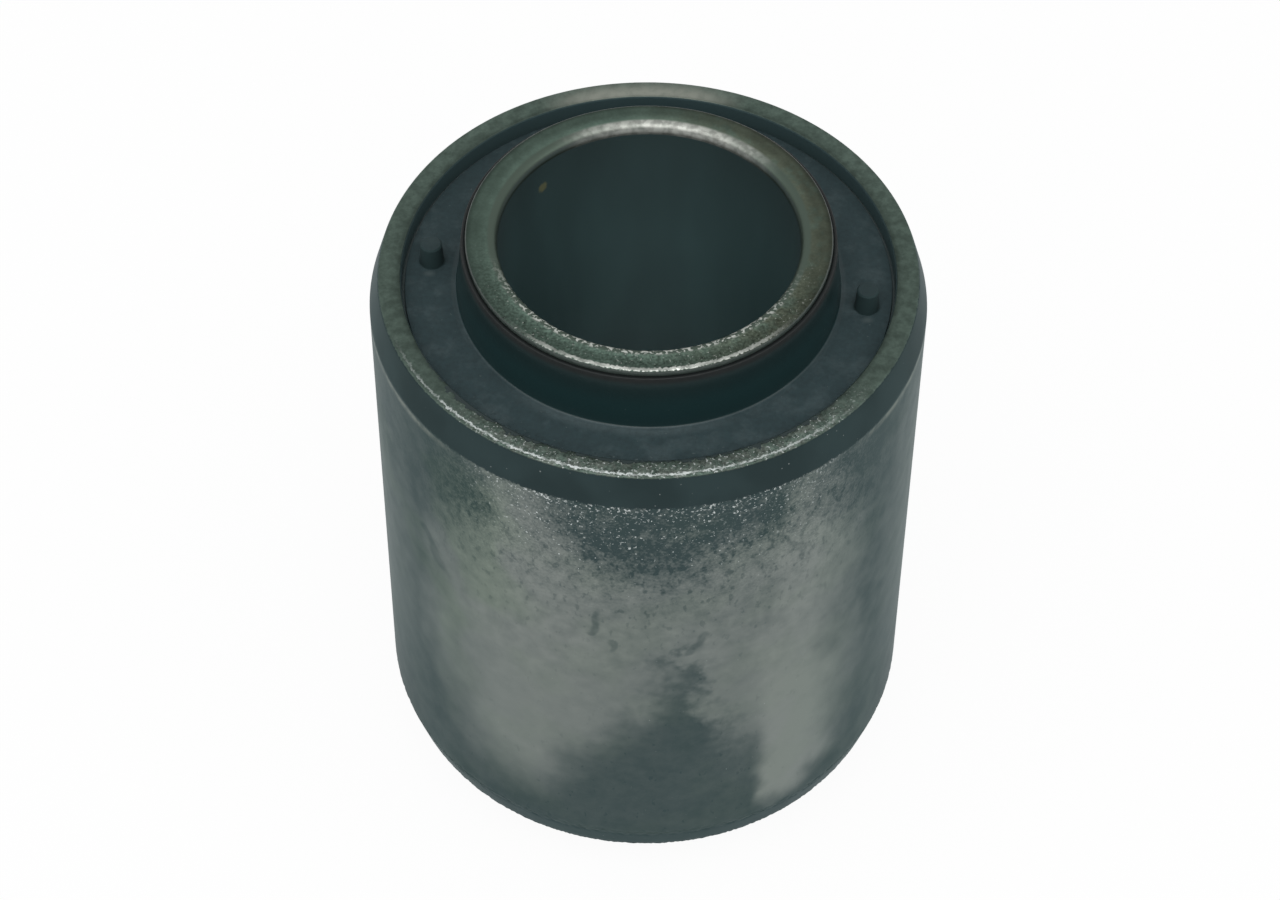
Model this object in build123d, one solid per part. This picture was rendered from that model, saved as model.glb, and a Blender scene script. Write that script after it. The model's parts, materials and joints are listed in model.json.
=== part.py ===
from build123d import *
import os

# Bonded rubber and steel bush: an inner and an outer steel sleeve with a rubber
# element moulded and bonded between them. Millimetres, +Z along the bore, with
# the origin on the bore axis at mid-length. The bush stands on the inner sleeve's end.

# The bore is the first size, and each wall stands on the one inside it, so a thicker
# wall makes the bush larger and never squeezes the rubber.

# ---- Outer sleeve -----------------------------------------------------------
OUTER_SLEEVE_WALL = 3.3
OUTER_SLEEVE_LENGTH = 62.0
LEAD_IN_LENGTH = 3.5        # tapered end, measured along the axis
LEAD_IN_DEPTH = 1.0         # how much smaller the rim's radius is than the sleeve's
RIM_OUTER_EDGE_BREAK = 0.3  # small chamfers on the rim's two edges
RIM_INNER_EDGE_BREAK = 0.25

# ---- Inner sleeve -----------------------------------------------------------
BORE_DIAMETER = 30.0
INNER_SLEEVE_WALL = 3.2
INNER_SLEEVE_LENGTH = 72.5
BORE_EDGE_RADIUS = 1.0      # rounding at the bore's two mouths
INNER_SLEEVE_EDGE_BREAK = 0.4

# ---- Rubber element ---------------------------------------------------------
RUBBER_WALL = 6.5           # rubber between the two sleeves
FACE_RECESS = 1.7           # end face's depth below the outer sleeve's rim
COLLAR_FOOT_THICKNESS = 1.0
COLLAR_LIP_THICKNESS = 0.4
COLLAR_SETBACK = 0.6        # lip's distance below the inner sleeve's end
COLLAR_ROOT_BREAK = 0.25    # small slope that fills the corner under the collar
RELIEF_GROOVE_WIDTH = 0.3
RELIEF_GROOVE_DEPTH = 0.4

# ---- Moulded pegs on the upper rubber face ----------------------------------
PEG_FOOT_DIAMETER = 2.5
PEG_TOP_DIAMETER = 2.2
PEG_HEIGHT = 2.5
PEG_EDGE_BREAK = 0.15
PEG_ANGLES = (-8.0, 173.4)  # degrees from +X towards +Y

# ---- Worked out from the sizes above ----------------------------------------
bore_radius = BORE_DIAMETER / 2
inner_sleeve_radius = bore_radius + INNER_SLEEVE_WALL
inner_sleeve_top = INNER_SLEEVE_LENGTH / 2

outer_sleeve_inner_radius = inner_sleeve_radius + RUBBER_WALL
outer_sleeve_radius = outer_sleeve_inner_radius + OUTER_SLEEVE_WALL
outer_sleeve_top = OUTER_SLEEVE_LENGTH / 2
rim_radius = outer_sleeve_radius - LEAD_IN_DEPTH

face_height = outer_sleeve_top - FACE_RECESS
collar_foot_radius = inner_sleeve_radius + COLLAR_FOOT_THICKNESS
collar_lip_radius = inner_sleeve_radius + COLLAR_LIP_THICKNESS
collar_lip_height = inner_sleeve_top - COLLAR_SETBACK
groove_radius = outer_sleeve_inner_radius - RELIEF_GROOVE_WIDTH
groove_floor_height = face_height - RELIEF_GROOVE_DEPTH
peg_circle_radius = (collar_foot_radius + outer_sleeve_inner_radius) / 2


def end_to_end(*upper_outline):
    """Complete a (radius, height) outline whose lower half mirrors its upper half."""
    lower_outline = [(radius, -height) for radius, height in reversed(upper_outline)]
    return [*upper_outline, *lower_outline]


def circles_at(body, radius, height):
    """The body's two circular edges of this radius, one at each end."""
    circles = body.edges().filter_by(GeomType.CIRCLE)
    same_radius = circles.filter_by(lambda edge: abs(edge.radius - radius) < 0.001)
    return same_radius.filter_by(lambda edge: abs(abs(edge.arc_center.Z) - height) < 0.001)


def make_outer_sleeve():
    """Steel tube that is pressed into the spring eye, lead-in first."""
    outline = end_to_end(
        (outer_sleeve_inner_radius, outer_sleeve_top),
        (rim_radius, outer_sleeve_top),
        (outer_sleeve_radius, outer_sleeve_top - LEAD_IN_LENGTH),
    )
    with BuildPart() as sleeve:
        with BuildSketch(Plane.XZ):
            with BuildLine():
                Polyline(*outline, close=True)
            make_face()
        revolve(axis=Axis.Z)
        chamfer(circles_at(sleeve, rim_radius, outer_sleeve_top), RIM_OUTER_EDGE_BREAK)
        chamfer(circles_at(sleeve, outer_sleeve_inner_radius, outer_sleeve_top), RIM_INNER_EDGE_BREAK)
    return sleeve.part


def make_inner_sleeve():
    """Thick steel tube that the bolt passes through and that is clamped by its ends."""
    with BuildPart() as sleeve:
        Cylinder(inner_sleeve_radius, INNER_SLEEVE_LENGTH)
        Hole(bore_radius)
        fillet(circles_at(sleeve, bore_radius, inner_sleeve_top), BORE_EDGE_RADIUS)
        chamfer(circles_at(sleeve, inner_sleeve_radius, inner_sleeve_top), INNER_SLEEVE_EDGE_BREAK)
    return sleeve.part


def make_rubber_element():
    """Moulding that fills the space between the sleeves and is bonded to both."""
    outline = end_to_end(
        (inner_sleeve_radius, collar_lip_height),
        (collar_lip_radius, collar_lip_height),
        (collar_foot_radius, face_height),
        (groove_radius, face_height),
        (groove_radius, groove_floor_height),
        (outer_sleeve_inner_radius, groove_floor_height),
    )
    with BuildPart() as rubber:
        with BuildSketch(Plane.XZ):
            with BuildLine():
                Polyline(*outline, close=True)
            make_face()
        revolve(axis=Axis.Z)
        chamfer(circles_at(rubber, collar_foot_radius, face_height), COLLAR_ROOT_BREAK)
        for angle in PEG_ANGLES:
            with Locations(Rot(0, 0, angle) * Pos(peg_circle_radius, 0, face_height)):
                add(make_peg())
    return rubber.part


def make_peg():
    """Small tapered peg that stands on the rubber face."""
    foot = (Align.CENTER, Align.CENTER, Align.MIN)
    with BuildPart() as peg:
        Cone(PEG_FOOT_DIAMETER / 2, PEG_TOP_DIAMETER / 2, PEG_HEIGHT, align=foot)
        chamfer(peg.faces().sort_by(Axis.Z)[-1].edges(), PEG_EDGE_BREAK)
    return peg.part


nodes = {
    "outer_sleeve": make_outer_sleeve(),
    "rubber_element": make_rubber_element(),
    "inner_sleeve": make_inner_sleeve(),
}

os.makedirs("parts", exist_ok=True)
for name, solid in nodes.items():
    export_step(solid, f"parts/{name}.step")
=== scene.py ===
"""Rubber metal bush: two steel sleeves, the rubber bonded between them, and a pale studio.

Lengths are metres, but the finishes work in millimetres, as do names that end in _mm. The bore runs
along Z.
"""

import json
import math

import bpy
import bmesh
from bpy.props import FloatProperty, FloatVectorProperty, IntProperty, PointerProperty
from mathutils import Matrix, Vector


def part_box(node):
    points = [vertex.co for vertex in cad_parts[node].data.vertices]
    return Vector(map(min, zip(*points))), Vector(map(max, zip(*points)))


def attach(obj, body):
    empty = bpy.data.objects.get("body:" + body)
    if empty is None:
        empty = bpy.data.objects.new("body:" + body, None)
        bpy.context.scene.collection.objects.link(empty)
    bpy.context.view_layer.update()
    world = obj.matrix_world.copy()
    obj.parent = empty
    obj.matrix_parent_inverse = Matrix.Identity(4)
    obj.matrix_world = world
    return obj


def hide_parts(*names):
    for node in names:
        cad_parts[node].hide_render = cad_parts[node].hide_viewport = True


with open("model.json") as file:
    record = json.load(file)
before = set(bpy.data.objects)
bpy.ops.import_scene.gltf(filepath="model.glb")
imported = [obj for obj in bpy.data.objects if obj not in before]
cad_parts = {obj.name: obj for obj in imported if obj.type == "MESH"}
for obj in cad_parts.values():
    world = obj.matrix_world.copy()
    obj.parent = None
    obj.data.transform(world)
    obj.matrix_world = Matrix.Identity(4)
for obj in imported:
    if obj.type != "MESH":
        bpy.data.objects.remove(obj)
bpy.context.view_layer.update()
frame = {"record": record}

bl_info = {
    "name": "Rubber Metal Bush",
    "version": (1, 0, 0),
    "blender": (4, 5, 0),
    "location": "3D View > Sidebar > Bush",
    "description": "Makes a bonded rubber and steel bush and a pale studio around it",
    "category": "Add Mesh",
}

MM = 0.001


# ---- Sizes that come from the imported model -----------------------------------

def mount_radius(name):
    """A round mount's radius, in metres."""
    for mount in frame["record"]["mounts"]:
        if mount["name"] == name:
            return mount["dims"]["r_mm"] * MM
    raise RuntimeError(f"the record has no mount named {name}")


def node_top(name):
    """The height of a node's highest point."""
    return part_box(name)[1][2]


def node_radius(name):
    """A turned node's radius: half its smaller width, so that the piece stays inside the solid's box."""
    low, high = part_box(name)
    return min(high[0] - low[0], high[1] - low[1]) / 2


# ---- Settings ----------------------------------------------------------------

def length(name, description, default):
    """A length in metres with a readable label."""
    return FloatProperty(name=name, description=description, default=default, unit="LENGTH", precision=6)


def colour(name, description, default):
    """A linear colour swatch."""
    return FloatVectorProperty(name=name, description=description, default=default, subtype="COLOR", size=3,
                               min=0.0, max=1.0)


def faces_around(piece, default):
    """How many faces a turned piece has around it."""
    return IntProperty(name="Segments", description=f"Faces around the {piece}", default=default, min=64)


def angle(name, description, degrees):
    """An angle that the panel shows in degrees."""
    return FloatProperty(name=name, description=description, default=math.radians(degrees), subtype="ANGLE")


class OuterSleeveSettings(bpy.types.PropertyGroup):
    """Sizes and colours of the outer sleeve."""

    outer_radius: length("Outer radius", "Radius of the plain wall", node_radius("outer_sleeve"))
    inner_radius: length("Inner radius", "Radius of the wall that the rubber is bonded to",
                         node_radius("rubber_element"))
    half_length: length("Half length", "Rim's height above mid-length", node_top("outer_sleeve"))
    lead_in_length: length("Lead-in length", "Length of the tapered end", 3.5 * MM)
    lead_in_depth: length("Lead-in depth", "How far the taper goes in at the rim", 1.0 * MM)
    outer_edge: length("Outer edge", "Rounding of the rim's outer edge", 0.3 * MM)
    inner_edge: length("Inner edge", "Rounding of the rim's inner edge", 0.25 * MM)
    segments: faces_around("sleeve", 700)
    relief_depth: length("Relief depth", "Depth of the blasted and sawn grain", 0.10 * MM)
    # the bright wall colour mostly paints reflections of the lit floor, and partly burnish
    burnish_and_reflection: colour("Burnished wall", "Parts of the wall rubbed bright", (0.215, 0.236, 0.222))
    stained: colour("Stained wall", "Dark phosphated parts of the wall", (0.046, 0.070, 0.072))
    lead_in_colour: colour("Lead-in", "Smooth tapered band below the rim", (0.032, 0.050, 0.052))
    rim_colour: colour("Rim", "Sawn face at the sleeve's end", (0.092, 0.126, 0.106))
    rim_tint: colour("Rim tint", "Paler olive patches of the rim", (0.130, 0.153, 0.134))
    # the smooth pale stretch of the rim is a painted highlight; this colour also draws the pale line along
    # the band
    polish_and_highlight_colour: colour("Polished rim", "Smooth pale stretch of the rim", (0.37, 0.385, 0.335))
    coat_colour: colour("Inner coat", "Dark coat on the wall above the rubber", (0.046, 0.078, 0.082))
    # the dark ragged line is partly chips and partly painted shade of the rim's inner edge
    crack_and_shade_colour: colour("Crack", "Dark ragged line at the rim's inner edge", (0.014, 0.022, 0.022))
    # also the colour of the painted glints and edge highlights
    bare_and_glint_colour: colour("Bare steel", "Worn edges and bright grains", (0.71, 0.75, 0.74))


class RubberElementSettings(bpy.types.PropertyGroup):
    """Sizes and colours of the rubber element."""

    face_recess: length("Face recess", "End face's depth below the outer sleeve's rim", 1.7 * MM)
    collar_foot: length("Collar foot", "Collar's thickness where it leaves the face", 1.0 * MM)
    collar_lip: length("Collar lip", "Collar's thickness at its lip", 0.4 * MM)
    collar_root: length("Collar root", "Rounding between the collar and the face", 0.25 * MM)
    groove_width: length("Groove width", "Relief groove beside the outer sleeve", 0.3 * MM)
    groove_depth: length("Groove depth", "Depth of the relief groove", 0.4 * MM)
    peg_count: IntProperty(name="Pegs", description="Moulded pegs on the upper face", default=2, min=1)
    peg_foot_radius: length("Peg foot radius", "Peg's radius at the face", 1.25 * MM)
    peg_top_radius: length("Peg top radius", "Peg's radius at its top", 1.1 * MM)
    peg_height: length("Peg height", "How far a peg stands above the face", 2.5 * MM)
    peg_edge: length("Peg edge", "Small chamfer around a peg's top", 0.15 * MM)
    peg_angle: angle("First peg", "Direction of the first peg from +X", -8.0)
    peg_spacing: angle("Peg spacing", "Angle from one peg to the next", 181.4)
    segments: faces_around("rubber", 600)
    relief_depth: length("Relief depth", "Unevenness of the moulded edges", 0.08 * MM)
    face_colour: colour("Face", "Upper and lower end faces", (0.0170, 0.0362, 0.0405))
    # painted shade: the steep sides get this darker colour, which also marks dark crumbs on the face
    shade_and_crumb_colour: colour("Sides", "Collar and other steep sides", (0.005, 0.017, 0.018))
    # also the painted highlight beside the collar's foot
    bloom_and_highlight_colour: colour("Bloom", "Pale bloom on the faces", (0.043, 0.067, 0.072))
    # also the painted light that lifts the groove's shade
    dust_and_fill_colour: colour("Dust", "Pale specks and light scratches", (0.090, 0.115, 0.115))


class InnerSleeveSettings(bpy.types.PropertyGroup):
    """Sizes and colours of the inner sleeve."""

    bore_radius: length("Bore radius", "Radius of the bore", mount_radius("bore"))
    outer_radius: length("Outer radius", "Radius that the rubber is bonded to", node_radius("inner_sleeve"))
    half_length: length("Half length", "End face's height above mid-length", node_top("inner_sleeve"))
    bore_edge: length("Bore edge", "Rounding of the bore's mouth", 1.0 * MM)
    outer_edge: length("Outer edge", "Rounding of the outer edge", 0.4 * MM)
    segments: faces_around("sleeve", 768)
    relief_depth: length("Relief depth", "Depth of the grain", 0.05 * MM)
    face_colour: colour("End face", "Olive-grey end face", (0.084, 0.123, 0.100))
    tint_colour: colour("Tint", "Brownish tint on one side of the end face", (0.084, 0.098, 0.072))
    mouth_colour: colour("Mouth", "Smooth rounding at the bore's mouth", (0.106, 0.140, 0.114))
    # the shining stretch is a painted highlight
    polish_and_highlight_colour: colour("Polished mouth", "Shining stretch of the rounding", (0.345, 0.352, 0.325))
    soft_mouth_colour: colour("Soft mouth", "Low part of the rounding away from the shine",
                              (0.040, 0.056, 0.052))
    bore_colour: colour("Bore", "Coated inside of the bore", (0.022, 0.043, 0.044))
    outside_colour: colour("Outside", "Dull outside above the rubber", (0.029, 0.041, 0.036))
    fleck_colour: colour("Bore fleck", "Small tan fleck in the bore", (0.110, 0.115, 0.060))
    fleck_bearing: FloatProperty(name="Fleck bearing", description="Degrees from +X to the bore's fleck",
                                 default=136.2)
    fleck_height: length("Fleck height", "Height of the bore's fleck above mid-length", 32.0 * MM)
    # also the colour of the painted glints and edge highlights
    bare_and_glint_colour: colour("Bare steel", "Worn edges and bright grains", (0.78, 0.80, 0.75))


class StageSettings(bpy.types.PropertyGroup):
    """Camera, lights and floor."""

    camera_back: length("Camera back", "Camera's distance in front of the bore axis", 240.66 * MM)
    camera_height: length("Camera height", "Camera's height above the outer sleeve's rim", 257.22 * MM)
    camera_pitch: angle("Pitch", "How far the camera looks down", 49.8275)
    camera_yaw: angle("Yaw", "How far the camera turns to the right", -0.1674)
    camera_roll: angle("Roll", "How far the camera leans to its left", 0.5326)
    focal_length_mm: FloatProperty(name="Focal length", description="Lens, in millimetres on a 36 mm sensor",
                                   default=99.22, min=1.0)
    floor_size: length("Floor size", "Side of the square floor", 6.0)
    floor_colour: colour("Floor", "Pale floor", (0.90, 0.90, 0.90))
    sky_colour: colour("Surroundings", "Soft light from all around", (0.62, 0.63, 0.63))
    key_power: FloatProperty(name="Front light", default=3.4, min=0.0,
                             description="Power of the softbox above the camera, in watts")
    fill_power: FloatProperty(name="Side lights", default=0.6, min=0.0,
                              description="Power of each side softbox, in watts")


# ---- Node building -----------------------------------------------------------

class Value:
    """A number that varies over a piece. Arithmetic on it adds Math nodes to its tree."""

    def __init__(self, graph, socket):
        self.graph = graph
        self.socket = socket

    def __add__(self, other):
        return self.graph.math("ADD", self, other)

    def __sub__(self, other):
        return self.graph.math("SUBTRACT", self, other)

    def __rsub__(self, other):
        return self.graph.math("SUBTRACT", other, self)

    def __mul__(self, other):
        return self.graph.math("MULTIPLY", self, other)

    def __truediv__(self, other):
        return self.graph.math("DIVIDE", self, other)

    def __abs__(self):
        return self.graph.math("ABSOLUTE", self)

    __radd__ = __add__
    __rmul__ = __mul__

    def root(self):
        """The value's square root."""
        return self.graph.math("SQRT", self)

    def at_least(self, least):
        """The value, or the least it may be."""
        return self.graph.math("MAXIMUM", self, least)

    def at_most(self, most):
        """The value, or the most it may be."""
        return self.graph.math("MINIMUM", self, most)

    def ramp(self, low, high, low_result=0.0, high_result=1.0, smooth=True):
        """The value's place between low and high, from low_result to high_result."""
        inputs = {"Value": self, "From Min": low, "From Max": high,
                  "To Min": low_result, "To Max": high_result}
        kind = "SMOOTHSTEP" if smooth else "LINEAR"
        node = self.graph.add("ShaderNodeMapRange", inputs, interpolation_type=kind)
        return Value(self.graph, node.outputs["Result"])

    def between(self, start, full, still_full, end):
        """1 between the middle two numbers, fading to 0 at the outer two."""
        return self.ramp(start, full) * self.ramp(end, still_full)

    def above(self, threshold, softness=0.05):
        """1 where the value is above the threshold, which makes irregular flecks out of a noise."""
        return (self - threshold).ramp(0.0, softness)

    def toward(self, target, share):
        """The value moved a share of the way towards a target."""
        return self + (target - self) * share

    def wander(self, amount, noise):
        """The value made to wander by up to about amount each way with a noise."""
        return self + (noise - 0.5) * (4 * amount)


class NodeGraph:
    """Adds linked nodes to a node tree, one call each."""

    def __init__(self, tree):
        self.tree = tree

    def connect(self, value, socket):
        """Link an output, or set a plain value."""
        if isinstance(value, Value):
            value = value.socket
        if isinstance(value, bpy.types.NodeSocket):
            self.tree.links.new(value, socket)
        else:
            socket.default_value = value

    def add(self, kind, inputs=None, **settings):
        """Add a node, change its settings, then fill its inputs by name or number."""
        node = self.tree.nodes.new(kind)
        for name, value in settings.items():
            setattr(node, name, value)
        for key, value in (inputs or {}).items():
            self.connect(value, node.inputs[key])
        return node

    def math(self, operation, *numbers, clamp=False):
        """One Math node's result."""
        inputs = dict(enumerate(numbers))
        node = self.add("ShaderNodeMath", inputs, operation=operation, use_clamp=clamp)
        return Value(self, node.outputs[0])

    def scaled(self, vector, factor):
        """A colour or another vector times one number."""
        inputs = {"Vector": vector, "Scale": factor}
        return self.add("ShaderNodeVectorMath", inputs, operation="SCALE").outputs[0]

    def times(self, vector, factors):
        """A colour or another vector times three numbers."""
        return self.add("ShaderNodeVectorMath", {0: vector, 1: factors}, operation="MULTIPLY").outputs[0]

    def split(self, vector, kind="ShaderNodeSeparateXYZ"):
        """The three numbers of a vector or a colour."""
        return [Value(self, output) for output in self.add(kind, {0: vector}).outputs]

    def noise(self, place, scale, detail=2.0, roughness=0.5):
        """A noise value of about 0.5, with features 1 / scale long."""
        inputs = {"Vector": place, "Scale": scale, "Detail": detail, "Roughness": roughness}
        return Value(self, self.add("ShaderNodeTexNoise", inputs).outputs[0])


def new_material(name):
    """A material whose node tree is still empty."""
    material = bpy.data.materials.new(name)
    material.use_nodes = True
    material.node_tree.nodes.clear()
    return material


class PieceGraph(NodeGraph):
    """A piece's new material, with the places and the two sets of noises that its layers share.

    Places are in millimetres, and in degrees around the bore axis. Depth is below the upper end, and end
    depth is in from the nearer end. Fine and coarse each give a scale, a detail and a roughness.
    """

    def __init__(self, name, half_length, fine, coarse):
        self.material = new_material(name)
        super().__init__(self.material.node_tree)
        place = self.add("ShaderNodeTexCoord").outputs["Object"]
        self.place = self.times(place, (1.0 / MM,) * 3)
        self.x, self.y, self.z = self.split(self.place)
        self.radius = (self.x * self.x + self.y * self.y).root()
        self.angle = self.math("DEGREES", self.math("ARCTAN2", self.y, self.x))
        self.depth = half_length / MM - self.z
        self.end_depth = half_length / MM - abs(self.z)
        self.fine = self.three_noises(*fine)
        self.coarse = self.three_noises(*coarse)

    def mix(self, factor, first, second):
        """Two colours mixed by factor."""
        node = self.add("ShaderNodeMix", data_type="RGBA")
        by_identifier = {socket.identifier: socket for socket in node.inputs}
        self.connect(factor, by_identifier["Factor_Float"])
        self.connect(rgba(first), by_identifier["A_Color"])
        self.connect(rgba(second), by_identifier["B_Color"])
        return next(socket for socket in node.outputs if socket.identifier == "Result_Color")

    def side(self, bearing_degrees):
        """How far a place lies towards a bearing: 1 at that side, 0 a quarter turn away, and -1 opposite."""
        bearing = math.radians(bearing_degrees)
        return (self.x * math.cos(bearing) + self.y * math.sin(bearing)) / self.radius

    def near(self, bearing_degrees, whole, gone):
        """1 within the first number of degrees around a bearing, and 0 beyond the second."""
        side = self.side(bearing_degrees)
        return side.ramp(math.cos(math.radians(gone)), math.cos(math.radians(whole)))

    def distance_from(self, point):
        """How far a place is from a point, in mm."""
        node = self.add("ShaderNodeVectorMath", {0: self.place, 1: point}, operation="DISTANCE")
        return Value(self, node.outputs["Value"])

    def three_noises(self, scale, detail=2.0, roughness=0.5, place=None):
        """Three noise values of about 0.5 that don't follow one another."""
        inputs = {"Vector": place or self.place, "Scale": scale, "Detail": detail, "Roughness": roughness}
        node = self.add("ShaderNodeTexNoise", inputs)
        return self.split(node.outputs["Color"], "ShaderNodeSeparateColor")

    def grains(self, size_mm, share, reach=0.45):
        """Scattered round grains of about size_mm in the chosen share of places: 1 in their middles."""
        node = self.add("ShaderNodeTexVoronoi", {"Vector": self.place, "Scale": 1.0 / size_mm})
        lot, brightness, _ = self.split(node.outputs["Color"], "ShaderNodeSeparateColor")
        chosen = self.math("LESS_THAN", lot, share)
        spot = Value(self, node.outputs["Distance"]).ramp(reach, reach * 0.5)
        return chosen * spot * brightness

    def smear(self, bearing_degrees, distance_mm, reach):
        """A small faint smear on the upper end, at this bearing and distance from the axis."""
        bearing = math.radians(bearing_degrees)
        across = self.x - distance_mm * math.cos(bearing)
        along = self.y - distance_mm * math.sin(bearing)
        away = (across * across + along * along * 2.0).root()
        return away.ramp(reach, 0.0) * self.z.ramp(0.0, 1.0, 0.0, 0.4)

    def finish(self, colour, metal, rough, height, bump_mm, bump_strength, edge_tint=(1.0, 1.0, 1.0)):
        """Add the surface shader and its bump, and return the material.

        Edge tint is the gloss that a rough metal keeps where it is seen at a low angle.
        """
        shader = self.add("ShaderNodeBsdfPrincipled",
                          {"Base Color": colour, "Metallic": metal, "Roughness": rough,
                           "Specular Tint": rgba(edge_tint)})
        bump = {"Strength": bump_strength, "Distance": bump_mm * MM, "Height": height}
        self.connect(self.add("ShaderNodeBump", bump).outputs[0], shader.inputs["Normal"])
        self.add("ShaderNodeOutputMaterial", {"Surface": shader.outputs[0]})
        return self.material


class WallMap:
    """Places on the round wall by their angle around it and their depth below its top, in mm."""

    def __init__(self, graph, radius_mm):
        self.graph = graph
        self.degree_mm = radius_mm * math.radians(1)
        broad = graph.three_noises(0.12)
        small = graph.three_noises(0.42)
        self.lumps = small[2]
        self.blotches = graph.three_noises(0.8)
        self.tint = broad[2]
        angle = graph.angle.wander(2.0 / self.degree_mm, broad[0])
        self.angle = angle.wander(0.35 / self.degree_mm, small[0])
        self.depth = graph.depth.wander(2.0, broad[1]).wander(0.35, small[1])

    def off(self, angle):
        """Degrees past an angle, from -180 to 180."""
        return self.graph.math("WRAP", self.angle - angle, 180.0, -180.0)

    def zone(self, angles, depths, taper=None):
        """A soft zone: 1 between the middle two angles and depths, and 0 outside the outer two.

        Taper gives the depth where the zone is broadest, how far it stays so, and how fast it narrows.
        """
        middle = (angles[1] + angles[2]) / 2
        off = self.off(middle)
        if taper:
            broadest, straight, rate = taper
            beyond = (abs(self.depth - broadest) - straight).at_least(0.0)
            off = off * (beyond * rate + 1.0)
        return off.between(*[angle - middle for angle in angles]) * self.depth.between(*depths)

    def rubbed_and_lit(self, tone, zones):
        """The tone moved towards each zone's own. A zone is (tone, angles, depths), with a taper or not."""
        for target, *place in zones:
            tone = tone.toward(target, self.zone(*place))
        return tone

    def wedge(self, angle, apex):
        """A painted shadow: a soft dark reflection of a shadow that widens downwards from its apex and is
        darker further down.
        """
        off = self.off(angle)
        below = self.depth.wander(1.2, self.lumps) - apex
        # its edges in degrees: the left one flares low down, and the right one has a shoulder
        left_edge = below * 0.85 + (below - 10.0).at_least(0.0) * 0.45
        shoulder = (below * 3.0 - 23.5).at_most(below * 0.08 + 12.2)
        right_edge = (below * 0.35 + 1.2).at_least(shoulder)
        # how far inside each edge a place lies, in mm, and how soft that edge is at its depth
        left_room = ((left_edge + off) * self.degree_mm).wander(1.0, self.blotches[0])
        right_room = ((right_edge - off) * self.degree_mm).wander(1.2, self.blotches[1])
        left_softness = (below * 0.26 + 0.9).at_least(0.9)
        right_softness = (below * 0.13 + 0.6).at_least(0.6)
        left = (left_room / left_softness).ramp(-1.0, 1.0)
        right = (right_room / right_softness).ramp(-0.6, 1.8)
        return left * right * below.ramp(0.0, 10.0, 0.75, 1.0, smooth=False)

    def dent(self, start, end, width):
        """A dark stroke between two (angle, depth) places."""
        across = self.off((start[0] + end[0]) / 2) * self.degree_mm
        down = self.depth - (start[1] + end[1]) / 2
        reach = Vector(((end[0] - start[0]) * self.degree_mm / 2, (end[1] - start[1]) / 2))
        along = across * reach.x + down * reach.y
        share = (along / reach.length_squared).at_least(-1.0).at_most(1.0)
        right = across - share * reach.x
        low = down - share * reach.y
        distance = (right * right + low * low).root()
        return distance.ramp(width, width * 0.3)


def rgba(value):
    """A plain colour with full alpha, or a socket unchanged."""
    return value if isinstance(value, bpy.types.NodeSocket) else (*value, 1.0)


# ---- Finishes ----------------------------------------------------------------

WORN_AND_LIT_SIDE = -88.0   # bearing of the side that was blasted and rubbed most, where the painted highlights and glints are too, in degrees from +X
BACK = 90.0         # bearing of the side away from it


def wall_tone(wall):
    """How bright the outer wall is, from 0 where it is stained to 1 where its columns and patches are
    painted reflections of the lit floor, partly burnish.
    """
    tone = wall.lumps.ramp(0.3, 0.7, 0.03, 0.09)
    # painted reflections of the lit floor, partly burnish, on the side that was rubbed most: a bridge, a
    # broad column, its dark top corner and a patch above the bridge's end
    tone = wall.rubbed_and_lit(tone, (
        (0.70, (-114, -104, -62, -52), (8, 20, 38, 54)),
        (0.86, (-161, -122, -112, -86), (-5, 9, 46, 58), (29, 6, 0.053)),
        (0.10, (-178, -165, -130, -120), (2, 4, 9, 15)),
        (0.66, (-86, -70, -62, -50), (7, 15, 19, 26)),
    ))
    # a painted shadow: the wall's reflection of a shadow on the floor in front, as a dark wedge
    tone = tone.toward(0.09, wall.wedge(-81, 26.0))
    # then more painted reflection and shade, partly burnish and stain: a light spot in the stain, the narrow
    # column beside it and its bright heart, then the two dim flanks and a dark foot, and last the columns of
    # the far side
    tone = wall.rubbed_and_lit(tone, (
        (0.70, (-76, -73, -71, -68), (31.5, 33, 34.5, 37)),
        (0.90, (-69, -60, -55, -29), (-6, 18, 53.5, 58.5), (30, 12, 0.055)),
        (1.00, (-67.5, -60, -56, -46.5), (28, 40, 54, 58.5), (42, 8, 0.07)),
        (0.22, (-178, -166, -152, -141), (12, 22, 36, 54)),
        (0.22, (-36, -22, -14, -2), (4, 12, 34, 54)),
        (0.10, (-76, -70, -66, -61), (49, 56, 62, 64)),
        (0.74, (10, 34, 50, 72), (2, 14, 40, 56), (28, 6, 0.04)),
        (0.85, (98, 108, 116, 138), (-4, 18, 50, 57)),
        (0.60, (60, 74, 100, 112), (8, 24, 34, 50)),
    ))
    # and a painted shadow wedge on the far side
    return tone.toward(0.08, wall.wedge(86, 24))


def wall_dents(wall):
    """The larger dark dents and scratches on the wall."""
    dents = wall.dent((-142.0, 21.8), (-138.2, 25.2), 1.5) * 0.6
    for start, end, width in (
        ((-101.0, 20.6), (-102.4, 23.2), 0.75),
        ((-60.9, 11.8), (-57.7, 15.9), 0.6),
        ((-78.2, 26.2), (-76.0, 24.4), 0.9),
        ((-97.2, 25.1), (-96.1, 25.9), 1.0),
        ((38.0, 18.0), (41.5, 21.0), 0.6),
        ((121.0, 31.0), (119.5, 34.0), 0.7),
    ):
        dents = dents.at_least(wall.dent(start, end, width))
    return dents


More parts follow.
